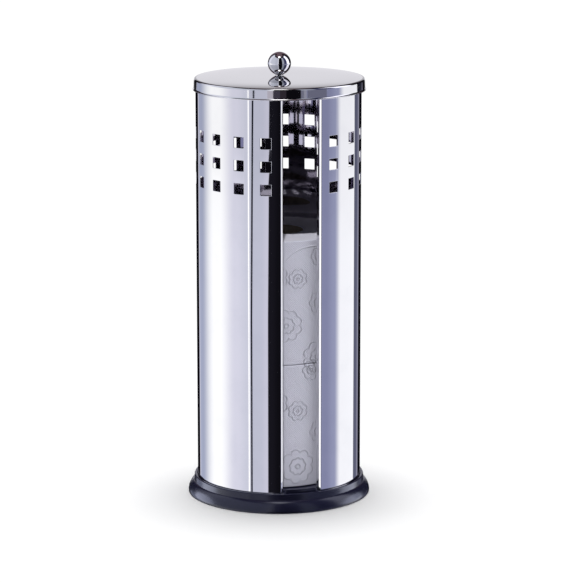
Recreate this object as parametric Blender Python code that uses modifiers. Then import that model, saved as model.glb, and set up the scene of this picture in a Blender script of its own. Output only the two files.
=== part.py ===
"""Toilet roll holder: a polished steel tube on a moulded base, with a lift-off lid and two rolls.

Metres, +Z up, origin on the floor under the middle of the base. The slot faces -Y. Angles around
the tube are measured from the slot's middle (-Y) towards +X.
"""
import math

import bmesh
import bpy
from mathutils import Matrix, Vector

# Clearances
TOUCH = 0.0003              # gap that touching pieces keep
OVERRUN = 0.002             # how far a cutter reaches past what it cuts
MERGE = 0.00001             # merge distance of turned shapes

# Rolls, which set the size of the tube
ROLL_RADIUS = 0.0545
ROLL_HEIGHT = 0.0983
ROLL_ROUND = 0.0016         # outer edge
ROLL_CORE_ROUND = 0.0006    # edge at the core
ROLL_PLACES = 3
ROLL_ROOM = 0.00995         # between a centred roll and the tube
ROLL_SHIFT_SHARES = (-0.31, 0.09)   # how far the rolls lean off centre, of that room
HEADROOM = 0.02085          # above the third roll, to the tube's top
CORE_RADIUS = 0.0225        # outside
CORE_WALL = 0.0006
CORE_RECESS = 0.0004        # core's ends below the paper's

# Tube: one polished sheet, rolled, with folded edges along the slot
SHEET = 0.0006
SLOT_WIDTH = 0.0332         # across the two outer fold lines
FOLD_RADIUS = 0.0006        # outside of each bend
LIP_WIDTH = 0.0014          # slanting face between the two bends
LIP_SLANT = math.radians(52.5)
RETURN_WIDTH = 0.0028       # edge that reaches back into the tube
RETURN_SLANT = math.radians(78)
TUBE_STEP = math.radians(4.1)   # largest facet round the tube
FOLD_STEPS = 3

# Square holes round the top
HOLE_SIDE = 0.0085
HOLE_PITCH = 0.0180         # row to row
HOLE_TOP_DROP = 0.0335      # lid's rim to the top row's middle
HOLE_ROWS = 3
HOLE_COLUMNS = 17
HOLE_MARGIN = 0.0071        # wall between a fold and the first column

# Base moulding
FLANGE_REACH = 0.0049       # from the collar to the flange's widest place
FLANGE_WIDEST_HEIGHT = 0.0017
FLANGE_HEIGHT = 0.0096      # crease between flange and collar
FLANGE_POWER = 1.35         # how flat the flange's slope is
HEEL_INSET = 0.0005         # foot's edge inside the widest place
BASE_LIFT = 0.0003          # rim's height above the floor: the rubber ring carries
COLLAR_RISE = 0.00515       # above the flange
COLLAR_WALL = 0.0023
COLLAR_DRAFT = 0.0002
COLLAR_ROUND = 0.0009
FLANGE_WALL = 0.0020
GROOVE_DEPTH = 0.00685      # from the collar's top
GROOVE_CLEARANCE = 0.00035  # beside the sheet, each side
SPIGOT_WALL = 0.0028
SPIGOT_RISE = 0.0026        # above the collar's top
SPIGOT_ROUND = 0.0005
LEDGE_WALL = 0.0020         # under the groove
FLOOR_DROP = 0.0013         # roll rest below the spigot's top
FLOOR_WALL = 0.0026
INNER_RIM_WALL = 0.0023
INNER_RIM_LIFT = 0.0012
NOTCH_MARGIN = 0.0006       # round a folded edge

# Tabs that hold the tube, and their screws
TAB_COUNT = 4
TAB_WIDTH = 0.0120
TAB_LENGTH = 0.0140         # from the tube inwards
TAB_HOLE_INSET = 0.0100     # from the tube to the screw
TAB_HOLE_RADIUS = 0.0018
TAB_DROP = 0.0008           # tab's underside below the sheet's lower edge
TAB_ROOM = 0.0006           # window's clearance round a tab
BOSS_RADIUS = 0.0036
BOSS_BORE_RADIUS = 0.0016
BOSS_BORE_DEPTH = 0.0060
TAB_SCREW_RADIUS = 0.0013
TAB_SCREW_LENGTH = 0.0058
TAB_SCREW_TIP = 0.0010
TAB_SCREW_HEAD_RADIUS = 0.0032
TAB_SCREW_HEAD_HEIGHT = 0.0018
TAB_SCREW_DRIVE_RADIUS = 0.0013
TAB_SCREW_DRIVE_DEPTH = 0.0010

# Rubber ring under the rim
RING_WIDTH = 0.0024
RING_ROUND = 0.0004

# Lid
LID_CLEARANCE = 0.00125     # between the tube and the skirt
LID_SHIFT_SHARES = (0.53, -0.15)    # how far the lid sits off centre, of that clearance
LID_SHEET = 0.0008
LID_DEPTH = 0.0091          # from the skirt's edge to the shoulder's top
LID_CROWN = 0.0018
LID_CROWN_POWER = 4.0
LID_SHOULDER = 0.0015       # radius
LIP_FLARE = 0.0009          # how far the skirt's edge stands out
LIP_HEIGHT = 0.0016
LID_HOLE_RADIUS = 0.0022

# Knob, its screw and washer
KNOB_RADIUS = 0.00915
KNOB_SEAT_RADIUS = 0.0032
KNOB_BORE_RADIUS = 0.0019
KNOB_BORE_DEPTH = 0.0076
KNOB_BORE_POINT = 0.0009
WASHER_RADIUS = 0.0055
WASHER_THICKNESS = 0.0008
KNOB_SCREW_RADIUS = 0.0016
KNOB_SCREW_TIP = 0.0006
KNOB_SCREW_HEAD_RADIUS = 0.0036
KNOB_SCREW_HEAD_HEIGHT = 0.0024
KNOB_SCREW_DRIVE_RADIUS = 0.0015
KNOB_SCREW_DRIVE_DEPTH = 0.0013

# Facets
LARGE_STEPS = 48
ROLL_STEPS = 40
SMALL_STEPS = 16
DRIVE_SIDES = 6
ARC_STEPS = 3
EDGE_STEPS = 2              # small roundings
FLANGE_STEPS = 7
CROWN_STEPS = 6
KNOB_STEPS = 24
KNOB_RINGS = 11

# Places that follow from the sizes above
TUBE_BORE = ROLL_RADIUS + ROLL_ROOM
TUBE_RADIUS = TUBE_BORE + SHEET
SLOT_ANGLE = math.asin(SLOT_WIDTH / 2 / TUBE_RADIUS)
HOLE_HALF_ANGLE = math.asin(HOLE_SIDE / 2 / TUBE_RADIUS)
HOLE_FIRST_ANGLE = SLOT_ANGLE + HOLE_MARGIN / TUBE_RADIUS + HOLE_HALF_ANGLE
COLLAR_HEIGHT = FLANGE_HEIGHT + COLLAR_RISE
GROOVE_OUTER = TUBE_RADIUS + GROOVE_CLEARANCE
GROOVE_INNER = TUBE_BORE - GROOVE_CLEARANCE
GROOVE_FLOOR = COLLAR_HEIGHT - GROOVE_DEPTH
TUBE_FOOT = GROOVE_FLOOR + TOUCH
COLLAR_RADIUS = GROOVE_OUTER + COLLAR_WALL
BASE_RADIUS = COLLAR_RADIUS + FLANGE_REACH
HEEL_RADIUS = BASE_RADIUS - HEEL_INSET
SPIGOT_TOP = COLLAR_HEIGHT + SPIGOT_RISE
SPIGOT_BORE = GROOVE_INNER - SPIGOT_WALL
REST_HEIGHT = SPIGOT_TOP - FLOOR_DROP
FLOOR_UNDERSIDE = REST_HEIGHT - FLOOR_WALL
LEDGE_UNDERSIDE = GROOVE_FLOOR - LEDGE_WALL
TAB_UNDERSIDE = TUBE_FOOT - TAB_DROP
TAB_TOP = TAB_UNDERSIDE + SHEET
TAB_HOLE_RING = TUBE_RADIUS - TAB_HOLE_INSET
BOSS_FOOT = TAB_TOP + TOUCH
SCREW_SEAT = TAB_UNDERSIDE - TOUCH
TAB_HALF_ANGLE = math.asin(TAB_WIDTH / 2 / TUBE_RADIUS)
ROLL_ONE_FOOT = REST_HEIGHT + TOUCH
ROLL_TWO_FOOT = ROLL_ONE_FOOT + ROLL_HEIGHT + TOUCH
TUBE_TOP = REST_HEIGHT + ROLL_PLACES * (ROLL_HEIGHT + TOUCH) + HEADROOM
LID_BORE = TUBE_RADIUS + LID_CLEARANCE
LID_RADIUS = LID_BORE + LID_SHEET
LID_SHOULDER_HEIGHT = TUBE_TOP + TOUCH + LID_SHEET
LID_RIM_HEIGHT = LID_SHOULDER_HEIGHT - LID_DEPTH
LID_TOP = LID_SHOULDER_HEIGHT + LID_CROWN
WASHER_TOP = LID_TOP - LID_SHEET - TOUCH
WASHER_FOOT = WASHER_TOP - WASHER_THICKNESS
KNOB_SCREW_SEAT = WASHER_FOOT - TOUCH
KNOB_FOOT = LID_TOP + TOUCH
KNOB_CENTRE = KNOB_FOOT + TOUCH + math.sqrt(KNOB_RADIUS ** 2 - KNOB_SEAT_RADIUS ** 2)
KNOB_BORE_TOP = KNOB_FOOT + KNOB_BORE_DEPTH
HOLE_TOP_ROW = LID_RIM_HEIGHT - HOLE_TOP_DROP
LID_PLACE = (LID_SHIFT_SHARES[0] * LID_CLEARANCE, LID_SHIFT_SHARES[1] * LID_CLEARANCE, 0)
ROLL_PLACE = (ROLL_SHIFT_SHARES[0] * ROLL_ROOM, ROLL_SHIFT_SHARES[1] * ROLL_ROOM, 0)


def material(name, colour, roughness, metallic=0.0):
    mat = bpy.data.materials.new(name)
    mat.use_nodes = True
    shader = mat.node_tree.nodes["Principled BSDF"]
    shader.inputs["Base Color"].default_value = (*colour, 1.0)
    shader.inputs["Roughness"].default_value = roughness
    shader.inputs["Metallic"].default_value = metallic
    mat.diffuse_color = (*colour, 1.0)
    return mat


def collection(name):
    group = bpy.data.collections.new(name)
    bpy.context.scene.collection.children.link(group)
    return group


def add_object(name, mesh, group, mat=None):
    obj = bpy.data.objects.new(name, mesh)
    group.objects.link(obj)
    if mat:
        mesh.materials.append(mat)
    return obj


def arc(centre, radius, start, end, steps=ARC_STEPS):
    """Points of an arc in the (radius, height) half plane, angles in degrees."""
    points = []
    for i in range(steps + 1):
        a = math.radians(start + (end - start) * i / steps)
        points.append((centre[0] + radius * math.cos(a), centre[1] + radius * math.sin(a)))
    return points


def turned(name, profile, group, mat, steps=LARGE_STEPS, closed=False, place=(0, 0, 0)):
    """A turned piece: the profile's points are (radius, height), down the outer side."""
    mesh = bpy.data.meshes.new(name)
    bm = bmesh.new()
    verts = [bm.verts.new((radius, 0, height)) for radius, height in profile]
    for a, b in zip(verts, verts[1:]):
        bm.edges.new((a, b))
    if closed:
        bm.edges.new((verts[-1], verts[0]))
    bm.to_mesh(mesh)
    bm.free()
    obj = add_object(name, mesh, group, mat)
    obj.location = place
    screw = obj.modifiers.new("Turn", "SCREW")
    screw.steps = screw.render_steps = steps
    screw.use_merge_vertices = True
    screw.merge_threshold = MERGE
    screw.use_smooth_shade = True
    return obj


def box_cutter(name, size, centre, angle=0.0):
    """A box whose +X side points outwards at the angle around the tube."""
    mesh = bpy.data.meshes.new(name)
    bm = bmesh.new()
    bmesh.ops.create_cube(bm, size=1.0)
    bmesh.ops.scale(bm, vec=size, verts=bm.verts)
    bmesh.ops.translate(bm, vec=centre, verts=bm.verts)
    bmesh.ops.rotate(bm, matrix=turn_to(angle), verts=bm.verts)
    bm.to_mesh(mesh)
    bm.free()
    return as_cutter(add_object(name, mesh, cutters))


def round_cutter(name, radius, foot, top, place, steps=SMALL_STEPS):
    """An upright round bar from foot to top."""
    mesh = bpy.data.meshes.new(name)
    bm = bmesh.new()
    bmesh.ops.create_cone(bm, cap_ends=True, segments=steps, radius1=radius, radius2=radius,
                          depth=top - foot)
    bmesh.ops.translate(bm, vec=(place[0], place[1], (top + foot) / 2), verts=bm.verts)
    bm.to_mesh(mesh)
    bm.free()
    return as_cutter(add_object(name, mesh, cutters))


def as_cutter(obj):
    obj.hide_render = True
    obj.display_type = "WIRE"
    return obj


def combine(obj, tool, operation):
    boolean = obj.modifiers.new(tool.name, "BOOLEAN")
    boolean.operation = operation
    boolean.solver = "EXACT"
    boolean.object = tool


def turn_to(angle):
    """Turns +X to the given angle around the tube, counted from -Y towards +X."""
    return Matrix.Rotation(angle - math.pi / 2, 3, "Z")


def ring_place(radius, angle, height=0.0):
    return Vector((radius * math.sin(angle), -radius * math.cos(angle), height))


def angle_of(point):
    return math.atan2(point.x, -point.y) % (2 * math.pi)


def tab_angles():
    return [2 * math.pi * (i + 0.5) / TAB_COUNT for i in range(TAB_COUNT)]


def hole_angles():
    step = (2 * math.pi - 2 * HOLE_FIRST_ANGLE) / (HOLE_COLUMNS - 1)
    return [HOLE_FIRST_ANGLE + i * step for i in range(HOLE_COLUMNS)]


def fold_outline(side):
    """The folded edge from the tube's wall inwards, on the sheet's outer face; side is 1 or -1."""
    along = Vector((-side * math.cos(SLOT_ANGLE), -math.sin(SLOT_ANGLE)))
    inward = Vector((-side * math.sin(SLOT_ANGLE), math.cos(SLOT_ANGLE)))
    start = ring_place(TUBE_RADIUS, side * SLOT_ANGLE).to_2d()
    points = []
    spot = start.copy()

    def bend(spot, first, last):
        centre = spot - FOLD_RADIUS * (along * math.sin(first) - inward * math.cos(first))
        for i in range(1, FOLD_STEPS + 1):
            a = first + (last - first) * i / FOLD_STEPS
            points.append(centre + FOLD_RADIUS * (along * math.sin(a) - inward * math.cos(a)))
        return points[-1]

    def straight(spot, slant, width):
        points.append(spot + width * (along * math.cos(slant) + inward * math.sin(slant)))
        return points[-1]

    spot = bend(spot, 0.0, LIP_SLANT)
    spot = straight(spot, LIP_SLANT, LIP_WIDTH)
    spot = bend(spot, LIP_SLANT, RETURN_SLANT)
    straight(spot, RETURN_SLANT, RETURN_WIDTH)
    return points


def wall_angles():
    """Angles of the wall's facets, with lines at the sides of every hole and tab."""
    marks = [SLOT_ANGLE, 2 * math.pi - SLOT_ANGLE]
    marks += [a + s * HOLE_HALF_ANGLE for a in hole_angles() for s in (-1, 1)]
    marks += [a + s * TAB_HALF_ANGLE for a in tab_angles() for s in (-1, 1)]
    marks.sort()
    angles = [marks[0]]
    for a, b in zip(marks, marks[1:]):
        pieces = max(1, math.ceil((b - a) / TUBE_STEP))
        angles += [a + (b - a) * i / pieces for i in range(1, pieces + 1)]
    return angles


def make_tube():
    """The rolled sheet: its outline is extruded upwards, holes are left out, tabs folded in."""
    mesh = bpy.data.meshes.new("tube")
    bm = bmesh.new()
    angles = wall_angles()
    outline = [p for p in reversed(fold_outline(1))]
    outline += [ring_place(TUBE_RADIUS, a).to_2d() for a in angles]
    outline += fold_outline(-1)
    verts = [bm.verts.new((p.x, p.y, TUBE_FOOT)) for p in outline]
    edges = [bm.edges.new(pair) for pair in zip(verts, verts[1:])]
    foot_edges = list(edges)

    levels = [COLLAR_HEIGHT]
    for row in reversed(range(HOLE_ROWS)):
        middle = HOLE_TOP_ROW - row * HOLE_PITCH
        levels += [middle - HOLE_SIDE / 2, middle + HOLE_SIDE / 2]
    levels.append(TUBE_TOP)
    low = TUBE_FOOT
    for level in levels:
        grown = bmesh.ops.extrude_edge_only(bm, edges=edges)["geom"]
        new_verts = [g for g in grown if isinstance(g, bmesh.types.BMVert)]
        edges = [g for g in grown if isinstance(g, bmesh.types.BMEdge)]
        bmesh.ops.translate(bm, vec=(0, 0, level - low), verts=new_verts)
        low = level

    gone = []
    for face in bm.faces:
        middle = face.calc_center_median()
        angle = angle_of(middle)
        row = round((HOLE_TOP_ROW - middle.z) / HOLE_PITCH)
        in_row = 0 <= row < HOLE_ROWS and abs(HOLE_TOP_ROW - row * HOLE_PITCH - middle.z) < HOLE_SIDE / 2
        in_hole = in_row and any(abs(angle - a) < HOLE_HALF_ANGLE for a in hole_angles())
        in_groove = middle.z < COLLAR_HEIGHT and min(angle, 2 * math.pi - angle) < SLOT_ANGLE
        if in_hole or in_groove:
            gone.append(face)
    bmesh.ops.delete(bm, geom=gone, context="FACES")

    foot_edges = [edge for edge in foot_edges if edge.is_valid]
    for tab in tab_angles():
        side = []
        for edge in foot_edges:
            middle = (edge.verts[0].co + edge.verts[1].co) / 2
            if abs(angle_of(middle) - tab) < TAB_HALF_ANGLE:
                side.append(edge)
        grown = bmesh.ops.extrude_edge_only(bm, edges=side)["geom"]
        new_verts = [g for g in grown if isinstance(g, bmesh.types.BMVert)]
        bmesh.ops.translate(bm, vec=(0, 0, -TAB_DROP), verts=new_verts)
        edges = [g for g in grown if isinstance(g, bmesh.types.BMEdge)]
        grown = bmesh.ops.extrude_edge_only(bm, edges=edges)["geom"]
        new_verts = [g for g in grown if isinstance(g, bmesh.types.BMVert)]
        bmesh.ops.translate(bm, vec=ring_place(-TAB_LENGTH, tab), verts=new_verts)

    bmesh.ops.recalc_face_normals(bm, faces=bm.faces)
    bm.faces.ensure_lookup_table()
    back = max(bm.faces, key=lambda f: f.calc_center_median().y)
    if back.normal.y < 0:
        bmesh.ops.reverse_faces(bm, faces=bm.faces)
    bm.to_mesh(mesh)
    bm.free()
    obj = add_object("tube", mesh, parts, steel)
    solid = obj.modifiers.new("Sheet", "SOLIDIFY")
    solid.thickness = SHEET
    solid.offset = -1.0
    solid.use_even_offset = True
    mesh.shade_smooth()
    mesh.set_sharp_from_angle(angle=math.radians(35))
    for i, angle in enumerate(tab_angles()):
        place = ring_place(TAB_HOLE_RING, angle)
        hole = round_cutter(f"tab_hole_{i + 1}", TAB_HOLE_RADIUS, TAB_UNDERSIDE - OVERRUN,
                            TAB_TOP + OVERRUN, place)
        combine(obj, hole, "DIFFERENCE")
    return obj


def make_base():
    flange = []
    for i in range(FLANGE_STEPS + 1):
        a = math.pi / 2 * i / FLANGE_STEPS
        out = abs(math.sin(a)) ** FLANGE_POWER
        up = abs(math.cos(a)) ** FLANGE_POWER
        flange.append((COLLAR_RADIUS + COLLAR_DRAFT + (FLANGE_REACH - COLLAR_DRAFT) * out,
                       FLANGE_WIDEST_HEIGHT + (FLANGE_HEIGHT - FLANGE_WIDEST_HEIGHT) * up))
    heel = []
    for i in range(1, ARC_STEPS + 1):
        a = math.pi / 2 * i / ARC_STEPS
        heel.append((HEEL_RADIUS + HEEL_INSET * math.cos(a),
                     BASE_LIFT + (FLANGE_WIDEST_HEIGHT - BASE_LIFT) * (1 - math.sin(a))))
    rim_inner = SPIGOT_BORE + INNER_RIM_WALL
    profile = [(0.0, REST_HEIGHT), (SPIGOT_BORE, REST_HEIGHT)]
    profile += arc((SPIGOT_BORE + SPIGOT_ROUND, SPIGOT_TOP - SPIGOT_ROUND), SPIGOT_ROUND, 180, 90,
                   EDGE_STEPS)
    profile += arc((GROOVE_INNER - SPIGOT_ROUND, SPIGOT_TOP - SPIGOT_ROUND), SPIGOT_ROUND, 90, 0,
                   EDGE_STEPS)
    profile += [(GROOVE_INNER, GROOVE_FLOOR), (GROOVE_OUTER, GROOVE_FLOOR)]
    profile += [(GROOVE_OUTER, COLLAR_HEIGHT - TOUCH), (GROOVE_OUTER + TOUCH, COLLAR_HEIGHT)]
    profile += arc((COLLAR_RADIUS - COLLAR_ROUND, COLLAR_HEIGHT - COLLAR_ROUND), COLLAR_ROUND, 90, 0)
    profile += flange + heel
    profile += [(HEEL_RADIUS - FLANGE_WALL / 2, BASE_LIFT), (COLLAR_RADIUS, LEDGE_UNDERSIDE),
                (rim_inner, LEDGE_UNDERSIDE), (rim_inner, INNER_RIM_LIFT), (SPIGOT_BORE, INNER_RIM_LIFT),
                (SPIGOT_BORE, FLOOR_UNDERSIDE), (0.0, FLOOR_UNDERSIDE)]
    obj = turned("base_moulding", profile, parts, black_plastic)

    for side in (-1, 1):
        fold = [ring_place(TUBE_RADIUS, side * SLOT_ANGLE).to_2d()] + fold_outline(side)
        angle = side * sum(min(angle_of(p), 2 * math.pi - angle_of(p)) for p in fold) / len(fold)
        frame = turn_to(angle).transposed()
        outs = [(frame @ p.to_3d()).x for p in fold]
        acrosses = [(frame @ p.to_3d()).y for p in fold]
        margin = SHEET + NOTCH_MARGIN
        low, high = COLLAR_HEIGHT - TOUCH, SPIGOT_TOP + OVERRUN
        inner, outer = min(outs) - margin, TUBE_RADIUS
        near, far = min(acrosses) - margin, max(acrosses) + margin
        notch = box_cutter(f"fold_notch_{(side + 3) // 2}", (outer - inner, far - near, high - low),
                           ((outer + inner) / 2, (far + near) / 2, (high + low) / 2), angle)
        combine(obj, notch, "DIFFERENCE")

    for i, angle in enumerate(tab_angles()):
        place = ring_place(TAB_HOLE_RING, angle)
        boss = round_cutter(f"boss_{i + 1}", BOSS_RADIUS, BOSS_FOOT, FLOOR_UNDERSIDE + FLOOR_WALL / 2, place)
        combine(obj, boss, "UNION")
    for i, angle in enumerate(tab_angles()):
        place = ring_place(TAB_HOLE_RING, angle)
        bore = round_cutter(f"boss_bore_{i + 1}", BOSS_BORE_RADIUS, BOSS_FOOT - OVERRUN,
                            BOSS_FOOT + BOSS_BORE_DEPTH, place)
        combine(obj, bore, "DIFFERENCE")
        inner = SPIGOT_BORE - OVERRUN
        outer = GROOVE_OUTER + TOUCH
        low = LEDGE_UNDERSIDE - TAB_ROOM
        high = TAB_TOP + TAB_ROOM
        window = box_cutter(f"tab_window_{i + 1}", (outer - inner, TAB_WIDTH + 2 * TAB_ROOM, high - low),
                            ((outer + inner) / 2, 0, (high + low) / 2), angle)
        combine(obj, window, "DIFFERENCE")
    return obj


def make_ring():
    inner = SPIGOT_BORE + INNER_RIM_WALL + TOUCH
    outer = inner + RING_WIDTH
    top = LEDGE_UNDERSIDE - TOUCH
    profile = [(inner, top), (outer, top)]
    profile += arc((outer - RING_ROUND, RING_ROUND), RING_ROUND, 0, -90, EDGE_STEPS)
    profile += arc((inner + RING_ROUND, RING_ROUND), RING_ROUND, -90, -180, EDGE_STEPS)
    return turned("non_slip_ring", profile, parts, rubber, closed=True)


def screw(name, radius, length, tip, head_radius, head_height, drive_radius, drive_depth, seat, place):
    """A pan-head screw standing head down under its seat, with a hexagonal drive."""
    profile = [(0.0, seat + length), (radius / 2, seat + length), (radius, seat + length - tip),
               (radius, seat), (head_radius, seat)]
    profile += arc((head_radius - head_height / 2, seat - head_height / 2), head_height / 2, 0, -90)
    profile += [(0.0, seat - head_height)]
    obj = turned(name, profile, parts, screw_steel, steps=SMALL_STEPS, place=(place[0], place[1], 0))
    drive = round_cutter(f"{name}_drive", drive_radius, seat - head_height - OVERRUN,
                         seat - head_height + drive_depth, place, steps=DRIVE_SIDES)
    combine(obj, drive, "DIFFERENCE")
    return obj


def crown_height(radius):
    """The lid's top face, from its middle to the shoulder."""
    share = radius / (LID_RADIUS - LID_SHOULDER)
    return LID_SHOULDER_HEIGHT + LID_CROWN * (1 - share ** LID_CROWN_POWER)


def make_lid():
    edge = LID_RADIUS - LID_SHOULDER
    radii = [LID_HOLE_RADIUS + (edge - LID_HOLE_RADIUS) * i / CROWN_STEPS for i in range(CROWN_STEPS + 1)]
    lip = LID_RADIUS + LIP_FLARE
    outside = [(r, crown_height(r)) for r in radii]
    outside += arc((edge, LID_SHOULDER_HEIGHT - LID_SHOULDER), LID_SHOULDER, 90, 0)[1:]
    outside += [(LID_RADIUS, LID_RIM_HEIGHT + LIP_HEIGHT),
                (LID_RADIUS + LIP_FLARE / 3, LID_RIM_HEIGHT + LIP_HEIGHT / 2)]
    outside += [(lip, LID_RIM_HEIGHT + LID_SHEET / 2), (lip - LID_SHEET / 4, LID_RIM_HEIGHT)]
    inside = [(LID_BORE, LID_RIM_HEIGHT), (LID_BORE, LID_SHOULDER_HEIGHT - LID_SHOULDER)]
    inside += arc((edge, LID_SHOULDER_HEIGHT - LID_SHOULDER), LID_SHOULDER - LID_SHEET, 0, 90)[1:]
    inside += [(r, crown_height(r) - LID_SHEET) for r in reversed(radii[:-1])]
    return turned("lid", outside + inside, parts, steel, closed=True, place=LID_PLACE)


def make_knob():
    seat = math.degrees(math.asin(KNOB_SEAT_RADIUS / KNOB_RADIUS))
    profile = [(0.0, KNOB_CENTRE + KNOB_RADIUS)]
    profile += arc((0.0, KNOB_CENTRE), KNOB_RADIUS, 90, seat - 90, KNOB_RINGS)[1:]
    profile += [(KNOB_SEAT_RADIUS, KNOB_FOOT), (KNOB_BORE_RADIUS, KNOB_FOOT),
                (KNOB_BORE_RADIUS, KNOB_BORE_TOP), (0.0, KNOB_BORE_TOP + KNOB_BORE_POINT)]
    return turned("knob", profile, parts, steel, steps=KNOB_STEPS, place=LID_PLACE)


def make_washer():
    profile = [(LID_HOLE_RADIUS, WASHER_TOP), (WASHER_RADIUS, WASHER_TOP),
               (WASHER_RADIUS, WASHER_FOOT), (LID_HOLE_RADIUS, WASHER_FOOT)]
    return turned("knob_washer", profile, parts, screw_steel, steps=SMALL_STEPS, closed=True,
                  place=LID_PLACE)


def make_roll(name, foot):
    top = foot + ROLL_HEIGHT
    bore = CORE_RADIUS + TOUCH
    paper_profile = arc((bore + ROLL_CORE_ROUND, top - ROLL_CORE_ROUND), ROLL_CORE_ROUND, 180, 90,
                        EDGE_STEPS)
    paper_profile += arc((ROLL_RADIUS - ROLL_ROUND, top - ROLL_ROUND), ROLL_ROUND, 90, 0)
    paper_profile += arc((ROLL_RADIUS - ROLL_ROUND, foot + ROLL_ROUND), ROLL_ROUND, 0, -90)
    paper_profile += arc((bore + ROLL_CORE_ROUND, foot + ROLL_CORE_ROUND), ROLL_CORE_ROUND, -90, -180,
                         EDGE_STEPS)
    turned(f"{name}_paper", paper_profile, parts, paper, steps=ROLL_STEPS, closed=True, place=ROLL_PLACE)
    inner = CORE_RADIUS - CORE_WALL
    high, low = top - CORE_RECESS, foot + CORE_RECESS
    turned(f"{name}_core", [(inner, high), (CORE_RADIUS, high), (CORE_RADIUS, low), (inner, low)],
           parts, cardboard, steps=ROLL_STEPS, closed=True, place=ROLL_PLACE)


for old in list(bpy.data.objects):
    bpy.data.objects.remove(old, do_unlink=True)

parts = collection("toilet_roll_holder")
cutters = collection("cutters")

steel = material("polished_steel", (0.86, 0.86, 0.88), 0.06, 1.0)
screw_steel = material("screw_steel", (0.62, 0.62, 0.64), 0.30, 1.0)
black_plastic = material("black_plastic", (0.015, 0.015, 0.02), 0.32)
rubber = material("black_rubber", (0.02, 0.02, 0.02), 0.85)
paper = material("tissue_paper", (0.86, 0.86, 0.88), 0.95)
cardboard = material("cardboard", (0.46, 0.37, 0.27), 0.90)

make_tube()
make_base()
make_ring()
for index, tab_angle in enumerate(tab_angles()):
    screw(f"tab_screw_{index + 1}", TAB_SCREW_RADIUS, TAB_SCREW_LENGTH, TAB_SCREW_TIP,
          TAB_SCREW_HEAD_RADIUS, TAB_SCREW_HEAD_HEIGHT, TAB_SCREW_DRIVE_RADIUS,
          TAB_SCREW_DRIVE_DEPTH, SCREW_SEAT, ring_place(TAB_HOLE_RING, tab_angle))
make_lid()
make_knob()
make_washer()
screw("knob_screw", KNOB_SCREW_RADIUS, KNOB_BORE_TOP - TOUCH - KNOB_SCREW_SEAT, KNOB_SCREW_TIP,
      KNOB_SCREW_HEAD_RADIUS, KNOB_SCREW_HEAD_HEIGHT, KNOB_SCREW_DRIVE_RADIUS,
      KNOB_SCREW_DRIVE_DEPTH, KNOB_SCREW_SEAT, LID_PLACE)
make_roll("lower_roll", ROLL_ONE_FOOT)
make_roll("upper_roll", ROLL_TWO_FOOT)
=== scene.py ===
"""The looks of the toilet roll holder: mirror steel, satin plastic and embossed paper in a small studio.

Metres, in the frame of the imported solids: +Z up, the slot faces -Y. Colours are linear, or 0 to 255
values of a picture that colour() turns linear.
"""
import math

import bmesh
import bpy
from mathutils import Matrix, Vector


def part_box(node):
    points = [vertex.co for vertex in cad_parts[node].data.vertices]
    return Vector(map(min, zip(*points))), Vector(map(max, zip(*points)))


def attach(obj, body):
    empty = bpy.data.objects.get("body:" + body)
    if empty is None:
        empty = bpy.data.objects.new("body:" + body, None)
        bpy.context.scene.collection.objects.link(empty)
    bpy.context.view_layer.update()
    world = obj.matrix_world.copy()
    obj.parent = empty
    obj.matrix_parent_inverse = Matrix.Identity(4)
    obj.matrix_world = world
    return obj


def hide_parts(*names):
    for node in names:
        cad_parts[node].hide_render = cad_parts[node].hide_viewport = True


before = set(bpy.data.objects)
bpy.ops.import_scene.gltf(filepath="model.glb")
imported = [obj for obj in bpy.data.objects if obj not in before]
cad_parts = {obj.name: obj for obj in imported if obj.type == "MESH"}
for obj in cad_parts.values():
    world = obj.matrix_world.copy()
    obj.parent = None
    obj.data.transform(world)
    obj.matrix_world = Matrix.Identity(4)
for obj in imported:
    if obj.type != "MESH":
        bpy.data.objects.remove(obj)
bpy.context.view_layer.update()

# Camera, as fitted to the photograph
IMAGE_SIDE = 583
FOCAL_PIXELS = 2878
SENSOR_WIDTH = 36.0         # millimetres, as Blender's cameras have it
CAMERA_DISTANCE = 2.2361
CAMERA_HEIGHT = 0.6350
CAMERA_AZIMUTH = math.radians(-16.05)
CAMERA_PITCH = math.radians(11.93)
CAMERA_YAW = math.radians(0.260)
CAMERA_REACH = 100.0

# Sheet metal and clearances, as in the solids
TOUCH = 0.0003
SHEET = 0.0006
TUBE_RADIUS = 0.06505
SLOT_WIDTH = 0.0332
LIP_WIDTH = 0.0014
RETURN_WIDTH = 0.0028
RETURN_SLANT = math.radians(78)
HOLE_SIDE = 0.0085
HOLE_PITCH = 0.0180
HOLE_TOP_DROP = 0.0335
HOLE_ROWS = 3
HOLE_COLUMNS = 17
HOLE_MARGIN = 0.0071
TAB_COUNT = 4
TAB_WIDTH = 0.0120
TAB_LENGTH = 0.0140
TAB_DROP = 0.0008
TAB_HOLE_INSET = 0.0100
TAB_HOLE_RADIUS = 0.0018

# Sheet metal, where it differs from the solids
FOLD_RADIUS = 0.00068
LIP_SLANTS = {-1: math.radians(49.5), 1: math.radians(52.5)}    # left and right of the slot
PUNCHED_EDGE = 0.00028      # rounding of every cut edge
PUNCHED_EDGE_ANGLE = math.radians(50)

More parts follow.
